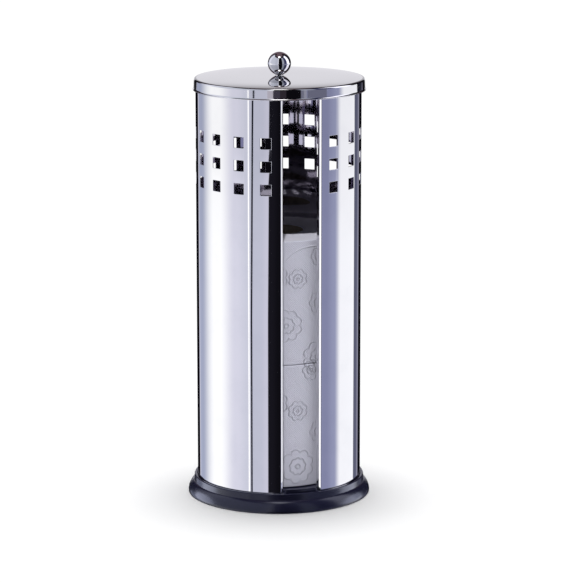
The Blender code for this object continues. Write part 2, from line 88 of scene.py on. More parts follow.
# Base moulding, as in the solids
FLANGE_REACH = 0.0049
FLANGE_WIDEST_HEIGHT = 0.0017
FLANGE_HEIGHT = 0.0096
FLANGE_POWER = 1.35
HEEL_INSET = 0.0005
BASE_LIFT = 0.0003
COLLAR_RISE = 0.00515
COLLAR_WALL = 0.0023
COLLAR_DRAFT = 0.0002
COLLAR_ROUND = 0.0009
FLANGE_WALL = 0.0020
GROOVE_DEPTH = 0.00685
GROOVE_CLEARANCE = 0.00035
SPIGOT_WALL = 0.0028
SPIGOT_ROUND = 0.0005
LEDGE_WALL = 0.0020
FLOOR_DROP = 0.0013
FLOOR_WALL = 0.0026
INNER_RIM_WALL = 0.0023
INNER_RIM_LIFT = 0.0012
NOTCH_MARGIN = 0.0006
TAB_ROOM = 0.0006
BOSS_RADIUS = 0.0036
BOSS_BORE_RADIUS = 0.0016
BOSS_BORE_DEPTH = 0.0060
OVERRUN = 0.002

# Lid and knob, as in the solids
LID_SHEET = 0.0008
LID_DEPTH = 0.0091
LID_CROWN = 0.0018
LID_CROWN_POWER = 4.0
LID_SHOULDER = 0.0015
LIP_FLARE = 0.0009
LIP_HEIGHT = 0.0016
LIP_FLARE_POWER = 1.8
LID_HOLE_RADIUS = 0.0022
LID_SHOULDER_END = 83       # degrees, where the shoulder meets the crown
SKIRT_LEAN = 0.00016        # shoulder narrower than the skirt's foot, in this script alone
KNOB_SEAT_RADIUS = 0.0032
KNOB_BORE_RADIUS = 0.0019
KNOB_BORE_DEPTH = 0.0076
KNOB_BORE_POINT = 0.0009

# Screws, washer and rubber ring, as in the solids, with threads, worn edges and grip grooves added
TAB_SCREW = {"radius": 0.0013, "tip": 0.0010, "head_height": 0.0018, "drive_radius": 0.0013,
             "drive_depth": 0.0010, "pitch": 0.0006}
KNOB_SCREW = {"radius": 0.0016, "tip": 0.0006, "head_height": 0.0024, "drive_radius": 0.0015,
              "drive_depth": 0.0013, "pitch": 0.0007}
THREAD_ROOT_SHARE = 0.82    # of the screw's radius
THREAD_STEPS = 24           # a turn
DRIVE_SIDES = 6
WASHER_EDGE = 0.00012
RING_WIDTH = 0.0024
RING_ROUND = 0.0004
RING_GROOVES = 3
RING_GROOVE = (0.00012, 0.0003)     # half its width, depth

# Rolls, as in the solids but for a sharper outer edge
ROLL_ROUND = 0.0009
ROLL_CORE_ROUND = 0.0006
CORE_WALL = 0.0006

# Embossing of the tissue, along the unrolled sheet
WAFFLE_PITCH = 0.0018
FLOWER_CELL = (0.0571, 0.2072)      # round the roll and up
FLOWERS = (
    # place round the roll, place up, reach, petals
    (0.0032, 0.1833, 0.0078, 8),
    (0.0220, 0.2000, 0.0075, 7),
    (0.0217, 0.1633, 0.0088, 7),
    (-0.0062, 0.1466, 0.0128, 9),
    (0.0200, 0.1200, 0.0125, 8),
    (0.0400, 0.1850, 0.0120, 9),
    (0.0390, 0.1420, 0.0085, 7),
    (0.0030, 0.0780, 0.0080, 8),
    (0.0150, 0.1100, 0.0080, 7),
    (0.0222, 0.0596, 0.0088, 7),
    (0.0030, 0.0330, 0.0138, 9),
    (0.0400, 0.0850, 0.0120, 9),
    (0.0370, 0.0400, 0.0085, 7),
)
FLOWER_LINE = 0.0005        # half the width of a raised line
PETAL_POWER = 0.55          # the smaller, the rounder the petals
OUTER_RIM = (0.74, 0.26)    # shares of the reach: between two petals, and a petal's height
INNER_RIM = (0.36, 0.15)
INNER_TURN = 0.8            # how the inner petals are turned
FLOWER_EYE = 0.13           # share of the reach
CREASE_DROP = 0.0050        # below the roll's top edge, at the crease's right end
CREASE_FALL = 0.0110        # from its right end to its left one
CREASE_FADE = 0.6           # towards its left end
CREASE_WIDTH = 0.0280
CREASE_PLACE = -0.008       # of its left end, round the roll
CREASE_LINE = 0.0009        # half its thickness
ROLL_END_UP = 10.0          # the unrolled place up of a roll's axis on its ends, where the layers show
ROLL_END_NORMAL = 0.9       # the upward part of an end's normal is more than this
LAYERS = (1500.0, 14.0)     # how often the wound layers change, a metre outwards and round the roll
PAPER_RELIEF = 0.0012       # one unit of these heights
LINE_HEIGHT = 2.0
WAFFLE_HEIGHT = 0.6
SOFT_HEIGHT = 0.5
FIBRE_HEIGHT = 0.12
CREASE_HEIGHT = 1.3
LAYER_HEIGHT = 0.9

# Finishes
FOLDS_REACH = (0.0172, 0.0176)      # the folded edges lie nearer than this to the slot's middle plane
FOLDS_DEPTH = (-0.002, 0.002)       # and in front of this
INSIDE_FINISH_AND_SHADE_START = 0.006           # below the collar's top, where the inside's rougher finish and its painted shade are full
PAINTED_LINE_INSET = (0.0006, 0.0004)        # how far inside the lid's bend the painted dark line, a painted shade, starts and is full
PAINTED_LINE_SHARES = (0.28, 0.2)      # of the shoulder, below its top, where the painted dark line starts and is full
BOARD_STRIP = 0.055                 # height of one turn of the cardboard's strip

# Facets
TUBE_STEP = math.radians(1.0)
LARGE_STEPS = 240
ROLL_STEPS = 180
CORE_STEPS = 120
MIDDLE_STEPS = 96
SMALL_STEPS = 48
TAB_HOLE_STEPS = 32
ARC_STEPS = 6
SMALL_ARC_STEPS = 3
COLLAR_ARC_STEPS = 8
FINE_ARC_STEPS = 10
KNOB_RINGS = 48
CROWN_RINGS = 28
LIP_RINGS = 8
FLANGE_RINGS = 24
HEEL_RINGS = 5
ROLL_END_RINGS = 16
ROLL_SIDE_RINGS = 60
MERGE = 0.0000001           # merge distance of turned shapes

# Places read from the frame
tube_low, tube_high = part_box("tube")
lid_low, lid_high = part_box("lid")
base_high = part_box("base_moulding")[1]
TUBE_TOP = tube_high[2]
TUBE_FOOT = tube_low[2] + TAB_DROP
LID_RIM_HEIGHT = lid_low[2]
LID_LIP_RADIUS = (lid_high[0] - lid_low[0]) / 2
BASE_RADIUS = base_high[0]
SPIGOT_TOP = base_high[2]
ROLL_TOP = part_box("upper_roll_paper")[1][2]
TUBE_BORE = TUBE_RADIUS - SHEET
SLOT_ANGLE = math.asin(SLOT_WIDTH / 2 / TUBE_RADIUS)
HOLE_HALF_ANGLE = math.asin(HOLE_SIDE / 2 / TUBE_RADIUS)
HOLE_FIRST_ANGLE = SLOT_ANGLE + HOLE_MARGIN / TUBE_RADIUS + HOLE_HALF_ANGLE
HOLE_TOP_ROW = LID_RIM_HEIGHT - HOLE_TOP_DROP
COLLAR_HEIGHT = FLANGE_HEIGHT + COLLAR_RISE
TAB_HALF_ANGLE = math.asin(TAB_WIDTH / 2 / TUBE_RADIUS)
LID_SHOULDER_HEIGHT = LID_RIM_HEIGHT + LID_DEPTH
LID_RADIUS = LID_LIP_RADIUS - LIP_FLARE
LID_BEND_START = LID_RADIUS - LID_SHOULDER
COLLAR_RADIUS = TUBE_RADIUS + GROOVE_CLEARANCE + COLLAR_WALL
GROOVE_OUTER = TUBE_RADIUS + GROOVE_CLEARANCE
GROOVE_INNER = TUBE_BORE - GROOVE_CLEARANCE
GROOVE_FLOOR = COLLAR_HEIGHT - GROOVE_DEPTH
LEDGE_HEIGHT = GROOVE_FLOOR - LEDGE_WALL
SPIGOT_BORE = GROOVE_INNER - SPIGOT_WALL
FLOOR_HEIGHT = SPIGOT_TOP - FLOOR_DROP
FLOOR_UNDERSIDE = FLOOR_HEIGHT - FLOOR_WALL
HEEL_RADIUS = BASE_RADIUS - HEEL_INSET


def colour(red, green, blue):
    """A picture's 0 to 255 values as linear ones."""
    linear = []
    for value in (red, green, blue):
        share = value / 255
        linear.append(share / 12.92 if share <= 0.04045 else ((share + 0.055) / 1.055) ** 2.4)
    return tuple(linear) + (1.0,)


class Value:
    """A number or colour that can change over a surface. Sums on it add Math nodes."""

    def __init__(self, nodes, socket):
        self.nodes = nodes
        self.socket = socket

    def math(self, operation, *others):
        inputs = dict(enumerate((self,) + others))
        return self.nodes.add("ShaderNodeMath", {"operation": operation}, inputs)

    def __add__(self, other):
        return self.math("ADD", other)

    def __sub__(self, other):
        return self.math("SUBTRACT", other)

    def __mul__(self, other):
        return self.math("MULTIPLY", other)

    def __truediv__(self, other):
        return self.math("DIVIDE", other)

    def __rsub__(self, other):
        return self.nodes.add("ShaderNodeMath", {"operation": "SUBTRACT"}, {0: other, 1: self})

    __radd__ = __add__
    __rmul__ = __mul__

    def sine(self):
        return self.math("SINE")

    def size(self):
        return self.math("ABSOLUTE")

    def power(self, exponent):
        return self.math("POWER", exponent)

    def cycle(self, length):
        """From 0 to length, again and again."""
        return self.math("FLOORED_MODULO", length)

    def larger(self, other):
        return self.math("MAXIMUM", other)

    def smaller(self, other):
        return self.math("MINIMUM", other)

    def between(self, low, high):
        """0 below low, 1 above high, smooth in between."""
        inputs = {"Value": self, "From Min": low, "From Max": high}
        return self.nodes.add("ShaderNodeMapRange", {"interpolation_type": "SMOOTHSTEP"}, inputs)


def length(x, y):
    return (x * x + y * y).math("SQRT")


def highest(values):
    """The largest of several values at each point."""
    top = values[0]
    for value in values[1:]:
        top = top.larger(value)
    return top


class Nodes:
    """A node tree that add() fills: a node's type, its settings, and its sockets' values or links."""

    def __init__(self, tree):
        self.tree = tree
        tree.nodes.clear()

    def add(self, kind, settings=None, inputs=None, output=0):
        node = self.tree.nodes.new(kind)
        for name, setting in (settings or {}).items():
            setattr(node, name, setting)
        for name, value in (inputs or {}).items():
            if isinstance(value, Value):
                self.tree.links.new(value.socket, node.inputs[name])
            else:
                node.inputs[name].default_value = value
        return Value(self, node.outputs[output]) if node.outputs else None

    def blend(self, share, first, second):
        """From the first colour to the second as share goes from 0 to 1."""
        return self.add("ShaderNodeMix", {"data_type": "RGBA"}, {0: share, 6: first, 7: second}, output=2)

    def place(self):
        return self.add("ShaderNodeTexCoord", output="Object")

    def split(self, vector):
        return [self.add("ShaderNodeSeparateXYZ", inputs={0: vector}, output=axis) for axis in "XYZ"]

    def join(self, x, y, z):
        return self.add("ShaderNodeCombineXYZ", inputs={0: x, 1: y, 2: z})

    def noise(self, vector, scale, detail=2.0, roughness=0.5):
        inputs = {"Vector": vector, "Scale": scale, "Detail": detail, "Roughness": roughness}
        return self.add("ShaderNodeTexNoise", inputs=inputs)

    def bump(self, height, distance):
        """distance is how far one unit of height stands out, in metres."""
        return self.add("ShaderNodeBump", inputs={"Height": height, "Distance": distance}, output="Normal")


def finish_of(name, paint):
    """A material. The function paint adds its nodes and returns the shader's inputs."""
    mat = bpy.data.materials.new(name)
    mat.use_nodes = True
    nodes = Nodes(mat.node_tree)
    shader = nodes.add("ShaderNodeBsdfPrincipled", inputs=paint(nodes), output="BSDF")
    nodes.add("ShaderNodeOutputMaterial", inputs={"Surface": shader})
    return mat


def mirror_steel(nodes):
    """Stainless steel, polished outside and on the folded edges; inside the tube rougher as rolled, and
    darker in a tint that is partly the rolled finish and partly painted shade.
    """
    place = nodes.place()
    x, y, z = nodes.split(place)
    smudges = nodes.noise(place, scale=38.0, detail=4.0, roughness=0.6).between(0.42, 0.75)
    drawn = nodes.noise(nodes.join(0.0, 0.0, z), scale=300.0, detail=3.0)
    tint = nodes.blend(smudges, (0.665, 0.660, 0.672, 1.0), (0.640, 0.637, 0.652, 1.0))
    at_folds = (1 - x.size().between(*FOLDS_REACH)) * (1 - y.between(*FOLDS_DEPTH))
    within = 1 - length(x, y).between(TUBE_BORE, TUBE_RADIUS - SHEET / 2)
    above_foot = z.between(COLLAR_HEIGHT - INSIDE_FINISH_AND_SHADE_START, COLLAR_HEIGHT)
    inside = within * (1 - at_folds) * above_foot
    rolled = nodes.noise(nodes.join(x * 260.0, y * 260.0, z * 6.0), scale=1.0, detail=4.0, roughness=0.7)
    # Darker brownish tint inside the tube: partly the rolled finish, partly painted shade.
    rolled_finish_and_shade = nodes.blend(rolled, (0.550, 0.520, 0.570, 1.0), (0.630, 0.600, 0.650, 1.0))
    return {"Base Color": nodes.blend(inside, tint, rolled_finish_and_shade), "Metallic": 1.0,
            "Roughness": 0.018 + smudges * 0.03 + drawn * 0.004 + inside * 0.014}


def lid_steel(nodes):
    """Steel polished in long straight strokes, with a painted dark line along the bend at its edge: painted
    shade.
    """
    place = nodes.place()
    x, y, z = nodes.split(place)
    strokes = nodes.noise(nodes.join(x * 12.0, y * 420.0, z * 60.0), scale=1.0, detail=4.0, roughness=0.65)
    smudges = nodes.noise(place, scale=30.0, detail=4.0, roughness=0.6).between(0.42, 0.75)
    centre = middle_of("lid")
    outwards = length(x - centre[0], y - centre[1])
    at_bend = outwards.between(*[LID_BEND_START - inset for inset in PAINTED_LINE_INSET])
    above = z.between(*[LID_SHOULDER_HEIGHT - LID_SHOULDER * share for share in PAINTED_LINE_SHARES])
    painted_dark_line = at_bend * above
    tint = nodes.blend(strokes, (0.670, 0.665, 0.675, 1.0), (0.630, 0.628, 0.640, 1.0))
    # Painted shade: the base colour turns dark along the lid's upper bend, a painted dark line.
    tint = nodes.blend(painted_dark_line, tint, (0.120, 0.120, 0.135, 1.0))
    return {"Base Color": tint, "Metallic": 1.0, "Roughness": 0.02 + strokes * 0.035 + smudges * 0.03,
            "Normal": nodes.bump(strokes, 0.0000015)}


def zinc_steel(nodes):
    """Zinc plating with a fine spangle, worn in places."""
    place = nodes.place()
    spangle = nodes.noise(place, scale=900.0, detail=3.0, roughness=0.6)
    wear = nodes.noise(place, scale=260.0, detail=4.0, roughness=0.6).between(0.45, 0.7)
    tint = nodes.blend(wear, (0.62, 0.62, 0.64, 1.0), (0.50, 0.49, 0.47, 1.0))
    return {"Base Color": tint, "Metallic": 1.0, "Roughness": 0.22 + spangle * 0.18 + wear * 0.1,
            "Normal": nodes.bump(spangle, 0.00001)}


def black_plastic(nodes):
    """Moulded plastic with a satin gloss and a faint grain."""
    place = nodes.place()
    grain = nodes.noise(place, scale=2600.0, detail=2.0, roughness=0.5)
    cloud = nodes.noise(place, scale=45.0, detail=4.0, roughness=0.6)
    tint = nodes.blend(cloud, (0.004, 0.004, 0.011, 1.0), (0.008, 0.008, 0.018, 1.0))
    return {"Base Color": tint, "Roughness": 0.2 + cloud * 0.06 + grain * 0.03,
            "Specular IOR Level": 0.3, "Specular Tint": (0.80, 0.84, 1.0, 1.0), "Coat Weight": 0.35,
            "Coat Roughness": 0.17, "Coat IOR": 1.5, "Coat Tint": (0.84, 0.86, 1.0, 1.0),
            "Normal": nodes.bump(grain, 0.000006)}


def black_rubber(nodes):
    """Matt rubber with some dust."""
    place = nodes.place()
    grain = nodes.noise(place, scale=1400.0, detail=3.0, roughness=0.6)
    dust = nodes.noise(place, scale=120.0, detail=4.0, roughness=0.6).between(0.5, 0.8)
    tint = nodes.blend(dust, (0.016, 0.016, 0.016, 1.0), (0.045, 0.044, 0.042, 1.0))
    return {"Base Color": tint, "Roughness": 0.72 + grain * 0.2, "Normal": nodes.bump(grain, 0.00006)}


def cardboard(nodes):
    """Grey-brown board wound in a spiral strip."""
    place = nodes.place()
    x, y, z = nodes.split(place)
    around = y.math("ARCTAN2", x) / (2 * math.pi)
    seam_at = (z / BOARD_STRIP + around).cycle(1.0)
    seam = 1 - (seam_at - 0.5).size().between(0.0, 0.02)
    fibres = nodes.noise(nodes.join(x * 300.0, y * 300.0, z * 900.0), scale=1.0, detail=4.0, roughness=0.7)
    flecks = nodes.noise(place, scale=1500.0, detail=2.0).between(0.62, 0.72)
    board = nodes.blend(fibres, colour(150, 142, 130), colour(182, 173, 160))
    board = nodes.blend(flecks * 0.5, board, colour(108, 98, 86))
    board = nodes.blend(seam * 0.6, board, colour(108, 100, 90))
    return {"Base Color": board, "Roughness": 0.86 + fibres * 0.1,
            "Normal": nodes.bump(fibres * 0.3 - seam, 0.0002)}


def flower(across, up, reach, petals):
    """Raised outlines of a round flower: its petals, an inner ring of smaller ones, and its eye."""
    distance = length(across, up)
    turn = up.math("ARCTAN2", across)
    lobes = (turn * (petals / 2)).sine().size().power(PETAL_POWER)
    inner_lobes = (turn * (petals / 2) + INNER_TURN).sine().size().power(PETAL_POWER)
    outer_rim = (OUTER_RIM[0] + lobes * OUTER_RIM[1]) * reach
    inner_rim = (INNER_RIM[0] + inner_lobes * INNER_RIM[1]) * reach
    rims = (outer_rim, inner_rim, FLOWER_EYE * reach)
    return highest([1 - (distance - rim).size().between(0.0, FLOWER_LINE) for rim in rims])


def tissue_paper(nodes):
    """White tissue, embossed with a fine waffle and round flowers. UV is round the roll and up, in metres."""
    uv = nodes.add("ShaderNodeTexCoord", output="UV")
    across, up = nodes.split(uv)[:2]
    cell_width, cell_height = FLOWER_CELL
    flowers = []
    for flower_across, flower_up, reach, petals in FLOWERS:
        x = (across - (flower_across - cell_width / 2)).cycle(cell_width) - cell_width / 2
        y = (up - (flower_up - cell_height / 2)).cycle(cell_height) - cell_height / 2
        flowers.append(flower(x, y, reach, petals))
    wave = math.pi / WAFFLE_PITCH
    waffle = (((across + up) * wave).sine() * ((across - up) * wave).sine()).size()
    soft = nodes.noise(uv, scale=90.0, detail=4.0, roughness=0.6)
    fibres = nodes.noise(uv, scale=3200.0, detail=3.0, roughness=0.7)
    left = (1 - (across - CREASE_PLACE).cycle(cell_width) / CREASE_WIDTH).larger(0.0)
    crease_at = ROLL_TOP - CREASE_DROP - left * left * left * CREASE_FALL
    crease = (1 - (up - crease_at).size().between(0.0, CREASE_LINE)) * (1 - left * CREASE_FADE)
    end = up.between(ROLL_END_UP / 2, ROLL_END_UP)
    wound = nodes.join((up - ROLL_END_UP) * LAYERS[0], across * LAYERS[1], 0.0)
    layers = nodes.noise(wound, scale=1.0, detail=3.0, roughness=0.7) * end
    height = (highest(flowers) * LINE_HEIGHT + waffle * WAFFLE_HEIGHT) * (1 - end)
    height = height + soft * SOFT_HEIGHT + fibres * FIBRE_HEIGHT + crease * CREASE_HEIGHT
    height = height + layers * LAYER_HEIGHT
    tint = nodes.blend(fibres, colour(213, 213, 230), colour(222, 222, 237))
    # Painted shade: the roll's ends get a darker colour, as the lamps from above light them more than the
    # sides.
    tint = nodes.blend(end, tint, colour(192, 191, 202))
    tint = nodes.blend(layers.between(0.55, 0.75) * 0.4, tint, colour(168, 166, 176))
    return {"Base Color": tint, "Roughness": 0.95, "Normal": nodes.bump(height, PAPER_RELIEF)}


EVEN_SHADING = (("WEIGHTED_NORMAL", {"mode": "FACE_AREA", "keep_sharp": True}),)
ROUNDED_EDGES = (
    ("BEVEL", {"width": PUNCHED_EDGE, "segments": 2, "limit_method": "ANGLE",
               "angle_limit": PUNCHED_EDGE_ANGLE, "use_clamp_overlap": False}),
) + EVEN_SHADING


def show(name, bm, body, mat, stands_for, modifiers=EVEN_SHADING):
    """Makes the bmesh a finished piece that rides on its body."""
    mesh = bpy.data.meshes.new(name)
    bm.to_mesh(mesh)
    bm.free()
    mesh.shade_smooth()
    mesh.materials.append(mat)
    piece = bpy.data.objects.new(name, mesh)
    bpy.context.scene.collection.objects.link(piece)
    for kind, settings in modifiers:
        modifier = piece.modifiers.new(kind.title(), kind)
        for setting, value in settings.items():
            setattr(modifier, setting, value)
    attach(piece, body)
    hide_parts(*stands_for)
    return piece


def arc(centre, radius, start, end, steps=ARC_STEPS):
    """Points of an arc in the (radius, height) half plane, angles in degrees."""
    points = []
    for i in range(steps + 1):
        a = math.radians(start + (end - start) * i / steps)
        points.append((centre[0] + radius * math.cos(a), centre[1] + radius * math.sin(a)))
    return points


def turned(profile, centre=(0, 0), steps=LARGE_STEPS, closed=False):
    """A turned shape: the profile's points are (radius, height)."""
    bm = bmesh.new()
    verts = [bm.verts.new((radius, 0, height)) for radius, height in profile]
    edges = [bm.edges.new(pair) for pair in zip(verts, verts[1:])]
    if closed:
        edges.append(bm.edges.new((verts[-1], verts[0])))
    bmesh.ops.spin(bm, geom=verts + edges, cent=(0, 0, 0), axis=(0, 0, 1), angle=2 * math.pi,
                   steps=steps, use_merge=True)
    bmesh.ops.remove_doubles(bm, verts=bm.verts, dist=MERGE)
    bmesh.ops.recalc_face_normals(bm, faces=bm.faces)
    bmesh.ops.translate(bm, vec=(centre[0], centre[1], 0), verts=bm.verts)
    return bm


def middle_of(node):
    """The middle of a node's box, seen from above."""
    low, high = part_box(node)
    return ((low[0] + high[0]) / 2, (low[1] + high[1]) / 2)


def radius_of(node):
    """The radius of a round node."""
    low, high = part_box(node)
    return (high[0] - low[0]) / 2


def ring_place(radius, angle, height=0.0):
    """A place at the angle round the tube, counted from the slot's middle to the right."""
    return Vector((radius * math.sin(angle), -radius * math.cos(angle), height))


def angle_of(point):
    """The angle round the tube, from 0 to a full turn."""
    return math.atan2(point.x, -point.y) % (2 * math.pi)


def turn_to(angle):
    """The rotation that turns +X to the angle round the tube."""
    return Matrix.Rotation(angle - math.pi / 2, 3, "Z")


def tab_angles():
    return [2 * math.pi * (i + 0.5) / TAB_COUNT for i in range(TAB_COUNT)]


def hole_angles():
    step = (2 * math.pi - 2 * HOLE_FIRST_ANGLE) / (HOLE_COLUMNS - 1)
    return [HOLE_FIRST_ANGLE + i * step for i in range(HOLE_COLUMNS)]


def fold_outline(side):
    """The folded edge from the tube's wall inwards, on the sheet's outer face; side is 1 or -1."""
    along = Vector((-side * math.cos(SLOT_ANGLE), -math.sin(SLOT_ANGLE)))
    inward = Vector((-side * math.sin(SLOT_ANGLE), math.cos(SLOT_ANGLE)))
    points = [ring_place(TUBE_RADIUS, side * SLOT_ANGLE).to_2d()]
    slant = LIP_SLANTS[side]
    for first, last, straight in ((0.0, slant, LIP_WIDTH), (slant, RETURN_SLANT, RETURN_WIDTH)):
        centre = points[-1] - FOLD_RADIUS * (along * math.sin(first) - inward * math.cos(first))
        for i in range(1, ARC_STEPS + 1):
            a = first + (last - first) * i / ARC_STEPS
            points.append(centre + FOLD_RADIUS * (along * math.sin(a) - inward * math.cos(a)))
        points.append(points[-1] + straight * (along * math.cos(last) + inward * math.sin(last)))
    return points[1:]


def wall_angles():
    """Angles of the wall's facets, with lines at the sides of every hole and tab."""
    marks = [SLOT_ANGLE, 2 * math.pi - SLOT_ANGLE]
    marks += [a + s * HOLE_HALF_ANGLE for a in hole_angles() for s in (-1, 1)]
    marks += [a + s * TAB_HALF_ANGLE for a in tab_angles() for s in (-1, 1)]
    marks.sort()
    angles = [marks[0]]
    for a, b in zip(marks, marks[1:]):
        pieces = max(1, round((b - a) / TUBE_STEP))
        angles += [a + (b - a) * i / pieces for i in range(1, pieces + 1)]
    return angles


def grow(bm, edges, step):
    """Extrudes the edges by the step and returns the new edges."""
    grown = bmesh.ops.extrude_edge_only(bm, edges=edges)["geom"]
    verts = [g for g in grown if isinstance(g, bmesh.types.BMVert)]
    bmesh.ops.translate(bm, vec=step, verts=verts)
    return [g for g in grown if isinstance(g, bmesh.types.BMEdge)]


def is_punched_out(face):
    """Whether the sheet is cut away here: in a hole, or in a folded edge below the collar's top."""
    middle = face.calc_center_median()
    angle = angle_of(middle)
    row = round((HOLE_TOP_ROW - middle.z) / HOLE_PITCH)
    in_row = 0 <= row < HOLE_ROWS and abs(HOLE_TOP_ROW - row * HOLE_PITCH - middle.z) < HOLE_SIDE / 2
    in_hole = in_row and any(abs(angle - a) < HOLE_HALF_ANGLE for a in hole_angles())
    in_fold_foot = middle.z < COLLAR_HEIGHT and min(angle, 2 * math.pi - angle) < SLOT_ANGLE
    return in_hole or in_fold_foot


def add_tab(bm, foot_edges, angle):
    """Bends a tab inwards from the wall's foot, with a hole for its screw."""
    side = []
    for edge in foot_edges:
        middle = (edge.verts[0].co + edge.verts[1].co) / 2
        if abs(angle_of(middle) - angle) < TAB_HALF_ANGLE:
            side.append(edge)
    side = grow(bm, side, (0, 0, -TAB_DROP))
    end = grow(bm, side, ring_place(-TAB_LENGTH, angle))
    strips = list({face for edge in end for face in edge.link_faces})
    plate = bmesh.ops.dissolve_faces(bm, faces=strips)["region"][0]
    outline = list(plate.edges)
    bmesh.ops.delete(bm, geom=[plate], context="FACES_ONLY")
    place = Matrix.Translation(ring_place(TUBE_RADIUS - TAB_HOLE_INSET, angle, TUBE_FOOT - TAB_DROP))
    hole = bmesh.ops.create_circle(bm, segments=TAB_HOLE_STEPS, radius=TAB_HOLE_RADIUS, matrix=place)["verts"]
    outline += list({edge for vert in hole for edge in vert.link_edges})
    bmesh.ops.triangle_fill(bm, use_beauty=True, edges=outline)


def make_tube(steel):
    """One thin sheet: wall, folded edges and tabs. Solidify thickens it inwards."""
    bm = bmesh.new()
    outline = list(reversed(fold_outline(1)))
    outline += [ring_place(TUBE_RADIUS, a).to_2d() for a in wall_angles()]
    outline += fold_outline(-1)
    verts = [bm.verts.new((p.x, p.y, TUBE_FOOT)) for p in outline]
    edges = [bm.edges.new(pair) for pair in zip(verts, verts[1:])]
    foot_edges = list(edges)
    levels = [COLLAR_HEIGHT]
    for row in reversed(range(HOLE_ROWS)):
        middle = HOLE_TOP_ROW - row * HOLE_PITCH
        levels += [middle - HOLE_SIDE / 2, middle + HOLE_SIDE / 2]
    levels.append(TUBE_TOP)
    low = TUBE_FOOT
    for level in levels:
        edges = grow(bm, edges, (0, 0, level - low))
        low = level
    punched_out = [face for face in bm.faces if is_punched_out(face)]
    bmesh.ops.delete(bm, geom=punched_out, context="FACES")
    foot_edges = [edge for edge in foot_edges if edge.is_valid]
    for angle in tab_angles():
        add_tab(bm, foot_edges, angle)
    bmesh.ops.recalc_face_normals(bm, faces=bm.faces)
    back = max(bm.faces, key=lambda face: face.calc_center_median().y)
    if back.normal.y < 0:
        bmesh.ops.reverse_faces(bm, faces=bm.faces)
    sheet = ("SOLIDIFY", {"thickness": SHEET, "offset": -1.0, "use_even_offset": True})
    return show("tube_sheet", bm, "holder", steel, ["tube"], (sheet,) + ROUNDED_EDGES)


def make_lid(steel):
    bore = LID_RADIUS - LID_SHEET
    bend_height = LID_SHOULDER_HEIGHT - LID_SHOULDER
    edge = LID_BEND_START

    def crown(r, drop=0.0):
        return (r, LID_SHOULDER_HEIGHT + LID_CROWN * (1 - (r / edge) ** LID_CROWN_POWER) - drop)

    radii = [LID_HOLE_RADIUS + (edge - LID_HOLE_RADIUS) * i / CROWN_RINGS for i in range(CROWN_RINGS + 1)]
    outside = [crown(r) for r in radii]
    outside[-1] = (edge - SKIRT_LEAN, outside[-1][1])
    outside += arc((edge - SKIRT_LEAN, bend_height), LID_SHOULDER, LID_SHOULDER_END, 0, FINE_ARC_STEPS)
    start = LID_RIM_HEIGHT + LIP_HEIGHT
    for i in range(LIP_RINGS + 1):
        share = i / LIP_RINGS
        outside.append((LID_RADIUS + LIP_FLARE * share ** LIP_FLARE_POWER,
                        start - (LIP_HEIGHT - LID_SHEET / 2) * share))
    outside.append((LID_LIP_RADIUS - LID_SHEET / 4, LID_RIM_HEIGHT))
    inside = [(bore, LID_RIM_HEIGHT), (bore, bend_height)]
    inside += arc((edge, bend_height), LID_SHOULDER - LID_SHEET, 0, LID_SHOULDER_END)[1:]
    inside += [crown(r, LID_SHEET) for r in reversed(radii)]
    bm = turned(outside + inside, middle_of("lid"), closed=True)
    return show("lid_pressing", bm, "lid", steel, ["lid"])


def make_knob(steel):
    low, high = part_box("knob")
    radius = radius_of("knob")
    foot = low[2]
    height = high[2] - radius
    seat = math.degrees(math.asin(KNOB_SEAT_RADIUS / radius))
    bore_end = foot + KNOB_BORE_DEPTH
    profile = [(0.0, height + radius)] + arc((0.0, height), radius, 90, seat - 90, KNOB_RINGS)[1:]
    profile += [(KNOB_SEAT_RADIUS, foot), (KNOB_BORE_RADIUS, foot), (KNOB_BORE_RADIUS, bore_end),
                (0.0, bore_end + KNOB_BORE_POINT)]
    bm = turned(profile, middle_of("knob"), MIDDLE_STEPS)
    return show("knob_ball", bm, "lid", steel, ["knob"])


def cutter(name, bm):
    """A short-lived object that a Boolean carves, takes away or adds."""
    mesh = bpy.data.meshes.new(name)
    bm.to_mesh(mesh)
    bm.free()
    tool = bpy.data.objects.new(name, mesh)
    bpy.context.scene.collection.objects.link(tool)
    return tool


def block(size, centre, angle):
    """A box whose +X side points outwards at the angle around the tube."""
    bm = bmesh.new()
    bmesh.ops.create_cube(bm, size=1.0)
    bmesh.ops.scale(bm, vec=size, verts=bm.verts)
    bmesh.ops.translate(bm, vec=centre, verts=bm.verts)
    bmesh.ops.rotate(bm, matrix=turn_to(angle), verts=bm.verts)
    return bm


def bar(radius, foot, top, place, steps=SMALL_STEPS):
    """An upright round bar, or one with as many sides as it has steps."""
    bm = bmesh.new()
    bmesh.ops.create_cone(bm, cap_ends=True, segments=steps, radius1=radius, radius2=radius, depth=top - foot)
    bmesh.ops.translate(bm, vec=(place[0], place[1], (top + foot) / 2), verts=bm.verts)
    return bm


def carved(bm, cuts):
    """The shape after its cuts: (bmesh, "DIFFERENCE" or "UNION") pairs."""
    blank = cutter("blank", bm)
    tools = [blank]
    for shape, operation in cuts:
        tool = cutter("tool", shape)
        tools.append(tool)
        boolean = blank.modifiers.new("Cut", "BOOLEAN")
        boolean.operation = operation
        boolean.solver = "EXACT"
        boolean.object = tool
    bpy.context.view_layer.update()
    result = bmesh.new()
    result.from_object(blank, bpy.context.evaluated_depsgraph_get())
    for tool in tools:
        bpy.data.meshes.remove(tool.data)
    return result


